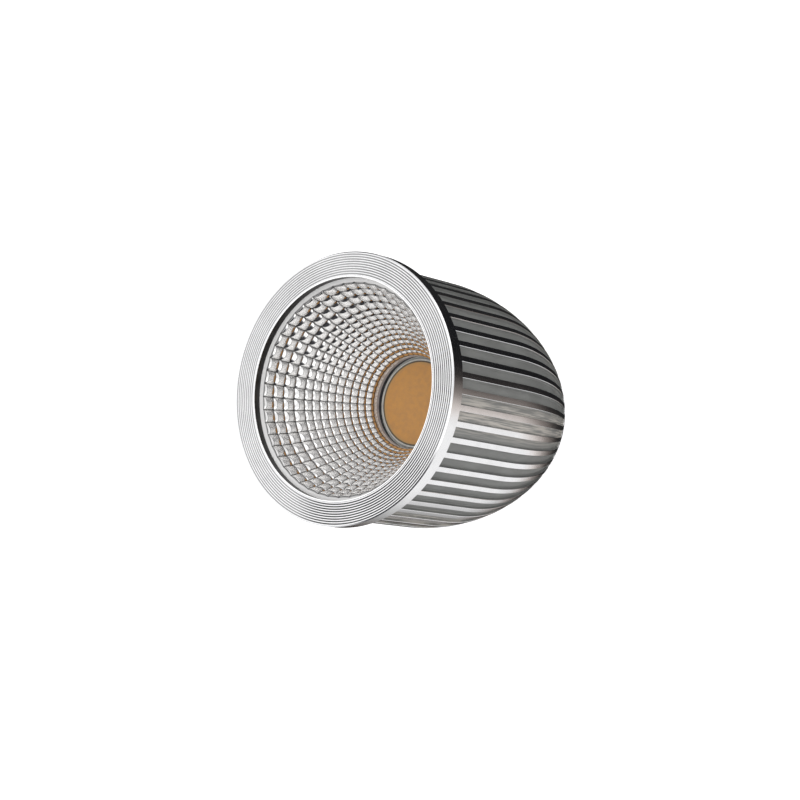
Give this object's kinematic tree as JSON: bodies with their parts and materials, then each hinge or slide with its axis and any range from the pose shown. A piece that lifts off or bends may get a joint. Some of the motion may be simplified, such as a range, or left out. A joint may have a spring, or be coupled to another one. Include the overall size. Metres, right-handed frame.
{
  "type": "led spot module",
  "caption": "Round aluminium LED spot module with a grooved front ring, a faceted mirror reflector over a round light source, and a fluted body that tapers to the tail.",
  "frame": {"origin": "centre of the tail face, on which the module stands", "axes": "+Z along the lamp's axis, the way the light leaves; the wires pass through the web on the +Y side"},
  "size_m": [0.05, 0.05, 0.054],
  "materials": {
    "fluted_aluminium": "turned lands over matte milled flutes",
    "ring_aluminium": "fine turned, satin",
    "mirror_coating": "vacuum metallised, bright",
    "phosphor": "matte silicone with phosphor",
    "dam_silicone": "satin silicone",
    "gasket_silicone": "matte",
    "board_ceramic": "matte fired ceramic",
    "pad_silicone": "matte",
    "holder_plastic": "moulded, satin",
    "screw_steel": "zinc plated",
    "sleeve_plastic": "shrunk tubing",
    "insulating_film": "matte film",
    "tube_plastic": "moulded, satin",
    "circuit_board": "solder resist, satin",
    "capacitor_sleeve": "shrunk sleeve",
    "ferrite": "sintered, matte",
    "copper_wire": "enamelled copper",
    "film_capacitor_box": "dipped resin",
    "moulding_compound": "matte epoxy",
    "resistor_body": "flameproof coating",
    "terminal_plastic": "moulded, satin",
    "cap_plastic": "moulded, fine texture",
    "grommet_rubber": "matte",
    "red_lead": "silicone insulation",
    "black_lead": "silicone insulation"
  },
  "bodies": {
    "root": {"heat_sink": "fluted_aluminium", "front_ring": "ring_aluminium", "reflector_gasket": "gasket_silicone", "reflector": "mirror_coating", "led_phosphor": "phosphor", "led_dam": "dam_silicone", "led_board": "board_ceramic", "thermal_pad": "pad_silicone", "led_holder": "holder_plastic", "holder_screws": "screw_steel", "lead_sleeve": "sleeve_plastic", "insulator_disc": "insulating_film", "driver_tube": "tube_plastic", "driver_board": "circuit_board", "smoothing_capacitor": "capacitor_sleeve", "choke_core": "ferrite", "choke_winding": "copper_wire", "film_capacitor": "film_capacitor_box", "bridge_rectifier": "moulding_compound", "driver_chip": "moulding_compound", "fuse_resistor": "resistor_body", "shunt_resistors": "moulding_compound", "inlet_terminal": "terminal_plastic", "rear_cap": "cap_plastic", "cable_grommet": "grommet_rubber", "positive_lead": "red_lead", "negative_lead": "black_lead"}
  },
  "joints": []
}
